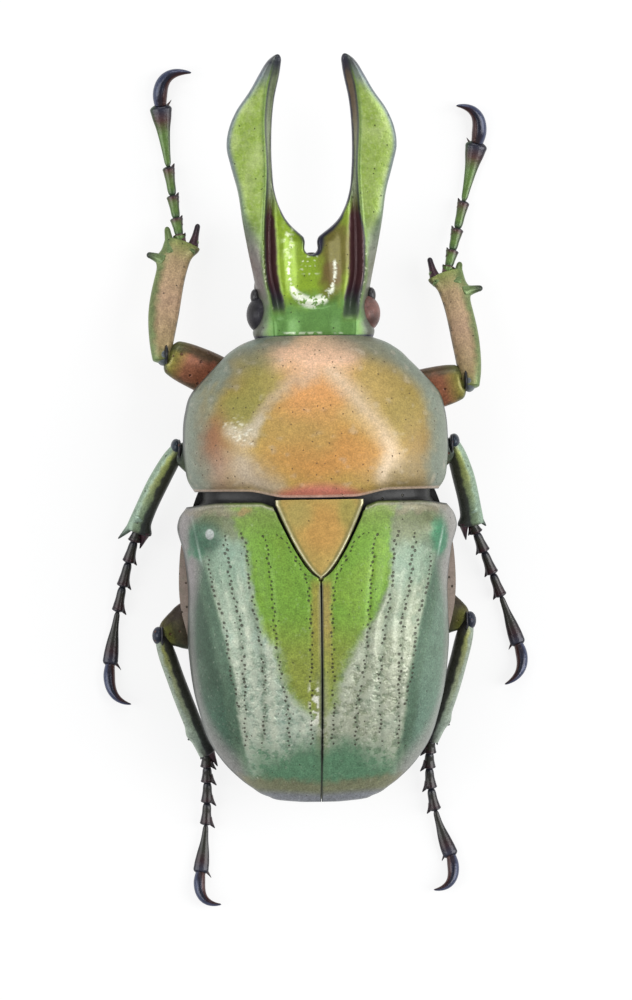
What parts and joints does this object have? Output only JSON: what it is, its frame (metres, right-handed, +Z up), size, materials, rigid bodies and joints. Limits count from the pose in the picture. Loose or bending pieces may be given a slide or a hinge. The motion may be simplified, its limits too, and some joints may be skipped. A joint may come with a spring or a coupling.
{
  "type": "male narycius opalus flower beetle",
  "caption": "Male horned flower beetle set as a museum specimen: long flat horns on the head, opaline shield and green wing cases, legs spread, standing on its claws.",
  "frame": {"origin": "middle of the bounding box in plan, on the floor that the claws stand on", "axes": "+Y runs from the horns to the tail, +X is the beetle's own left, +Z is up"},
  "size_m": [0.0182, 0.0364, 0.0076],
  "materials": {
    "pronotum": "satin opaline cuticle, copper to grey-green",
    "scutellum": "satin copper cuticle",
    "elytra": "gloss opaline cuticle, grass green to pearl",
    "head": "gloss yellow-green cuticle",
    "horns": "satin yellow-green cuticle, fine pits",
    "eyes": "gloss, fine facets",
    "feelers": "gloss dark cuticle",
    "underside": "gloss bronze-green cuticle",
    "femora": "gloss copper cuticle",
    "tibiae": "gloss copper and green cuticle",
    "tarsi": "gloss olive-black cuticle",
    "claws": "gloss blue-black"
  },
  "bodies": {
    "root": {"abdomen": "underside", "antenna_left": "feelers", "antenna_right": "feelers", "elytron_left": "elytra", "elytron_right": "elytra", "eye_left": "eyes", "eye_right": "eyes", "front_left_claws": "claws", "front_left_coxa": "underside", "front_left_femur": "femora", "front_left_tarsus": "tarsi", "front_left_tibia": "tibiae", "front_right_claws": "claws", "front_right_coxa": "underside", "front_right_femur": "femora", "front_right_tarsus": "tarsi", "front_right_tibia": "tibiae", "head": "head", "hind_left_claws": "claws", "hind_left_coxa": "underside", "hind_left_femur": "femora", "hind_left_tarsus": "tarsi", "hind_left_tibia": "tibiae", "hind_right_claws": "claws", "hind_right_coxa": "underside", "hind_right_femur": "femora", "hind_right_tarsus": "tarsi", "hind_right_tibia": "tibiae", "horn_left": "horns", "horn_right": "horns", "middle_left_claws": "claws", "middle_left_coxa": "underside", "middle_left_femur": "femora", "middle_left_tarsus": "tarsi", "middle_left_tibia": "tibiae", "middle_right_claws": "claws", "middle_right_coxa": "underside", "middle_right_femur": "femora", "middle_right_tarsus": "tarsi", "middle_right_tibia": "tibiae", "mouthparts": "feelers", "pronotum": "pronotum", "pygidium": "underside", "scutellum": "scutellum", "thorax": "underside"}
  },
  "joints": []
}
